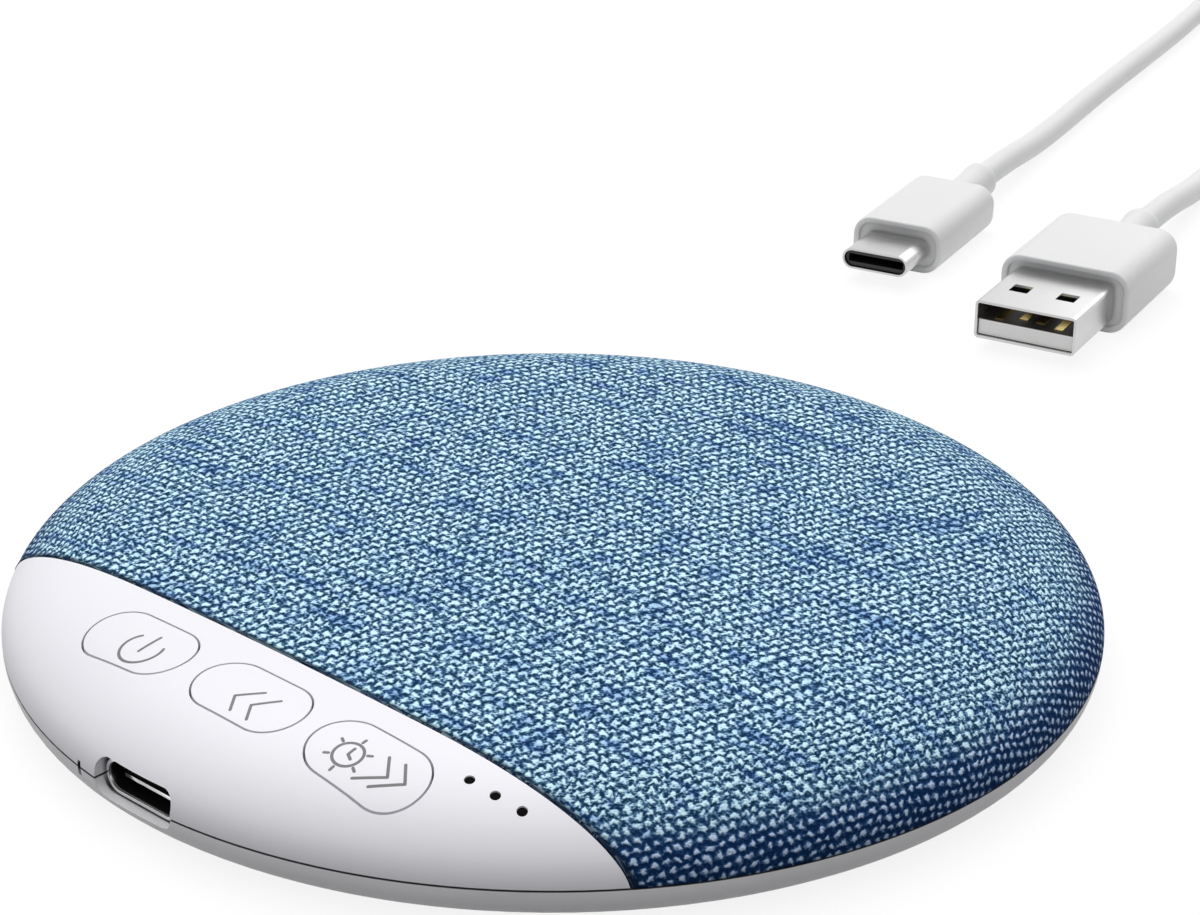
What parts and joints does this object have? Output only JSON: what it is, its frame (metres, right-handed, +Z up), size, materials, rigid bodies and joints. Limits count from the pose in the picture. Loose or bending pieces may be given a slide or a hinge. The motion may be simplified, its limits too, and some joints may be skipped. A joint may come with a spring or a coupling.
{
  "type": "white noise sound machine",
  "caption": "Flat round sound machine with a cloth-covered speaker grille, a plain control panel with flush buttons and a charging port, and a white charging cable with a plug on each end.",
  "frame": {"origin": "middle of the round housing on the plane its feet rest on", "axes": "+Z up through the cloth-covered grille, -Y towards the control panel and charging port, +X to the right of someone who faces the control panel"},
  "size_m": [0.1202, 0.3068, 0.0115],
  "materials": {
    "pale_panel_plastic": "smooth satin",
    "pale_base_plastic": "fine satin",
    "button_plastic": "smooth satin",
    "black_plastic": "moulded matt",
    "blue_cloth": "woven, melange",
    "smoked_plastic": "smoked clear",
    "dark_rubber": "matt",
    "circuit_board_green": "solder resist",
    "chip_black": "moulded matt",
    "ceramic_tan": "fired",
    "ferrite_grey": "sintered",
    "port_steel": "drawn sheet",
    "gilt_contact": "gilt",
    "white_light_plastic": "diffusing",
    "plated_steel": "zinc plated",
    "magnet_grey": "nickel plated",
    "copper_wire": "enamelled winding",
    "black_paper": "pressed pulp",
    "black_rubber": "soft",
    "foam_black": "closed foam",
    "battery_foil": "pouch foil",
    "tape_white": "foam tape",
    "red_lead": "smooth sleeve",
    "black_lead": "smooth sleeve",
    "white_cord": "smooth jacket",
    "white_plug": "smooth satin",
    "connector_white": "moulded"
  },
  "bodies": {
    "housing": {"lower_shell": "pale_base_plastic", "grille_frame": "black_plastic", "fabric_cover": "blue_cloth", "control_panel": "pale_panel_plastic", "switch_bodies": "plated_steel", "button_guide": "black_plastic", "main_board": "circuit_board_green", "processor_chip": "chip_black", "amplifier_chip": "chip_black", "memory_chip": "chip_black", "board_capacitors": "ceramic_tan", "power_inductor": "ferrite_grey", "lead_connectors": "connector_white", "charging_port_shell": "port_steel", "charging_port_tongue": "black_plastic", "charging_port_contacts": "gilt_contact", "indicator_leds": "white_light_plastic", "indicator_light_guide": "smoked_plastic", "speaker_basket": "plated_steel", "speaker_yoke": "plated_steel", "speaker_magnet": "magnet_grey", "speaker_pole_plate": "plated_steel", "speaker_surround": "black_rubber", "speaker_gasket": "foam_black", "speaker_terminals": "circuit_board_green", "battery_cell": "battery_foil", "battery_board": "circuit_board_green", "battery_tape": "tape_white", "case_screws": "plated_steel", "board_screws": "plated_steel", "rubber_feet": "dark_rubber", "cable_c_plug_shell": "port_steel", "cable_c_plug_insert": "black_plastic", "cable_c_plug_body": "white_plug", "cable_c_strain_relief": "white_plug", "cable_c_run": "white_cord", "cable_coil": "white_cord", "cable_tie": "black_rubber", "cable_a_run": "white_cord", "cable_a_strain_relief": "white_plug", "cable_a_plug_body": "white_plug", "cable_a_plug_shell": "port_steel", "cable_a_plug_insert": "connector_white", "cable_a_plug_contacts": "gilt_contact", "battery_lead_positive": "red_lead", "battery_lead_negative": "black_lead", "speaker_lead_positive": "red_lead", "speaker_lead_negative": "black_lead"},
    "power_button": {"power_button": "button_plastic", "power_switch_plunger": "black_plastic"},
    "previous_button": {"previous_button": "button_plastic", "previous_switch_plunger": "black_plastic"},
    "next_button": {"next_button": "button_plastic", "next_switch_plunger": "black_plastic"},
    "speaker_cone": {"speaker_cone": "black_paper", "speaker_dust_cap": "black_paper", "speaker_voice_coil": "copper_wire"}
  },
  "joints": [
    {"name": "power_press", "type": "slide", "parent": "housing", "child": "power_button", "axis": [0, 0, -1], "range_m": [0, 0.0003], "stiffness_N_per_m": 5000},
    {"name": "previous_press", "type": "slide", "parent": "housing", "child": "previous_button", "axis": [0, 0, -1], "range_m": [0, 0.0003], "stiffness_N_per_m": 5000},
    {"name": "next_press", "type": "slide", "parent": "housing", "child": "next_button", "axis": [0, 0, -1], "range_m": [0, 0.0003], "stiffness_N_per_m": 5000},
    {"name": "cone_travel", "type": "slide", "parent": "housing", "child": "speaker_cone", "axis": [0, 0, 1], "range_m": [-0.0004, 0.0004], "stiffness_N_per_m": 1500, "deforming": ["speaker_surround"]}
  ]
}
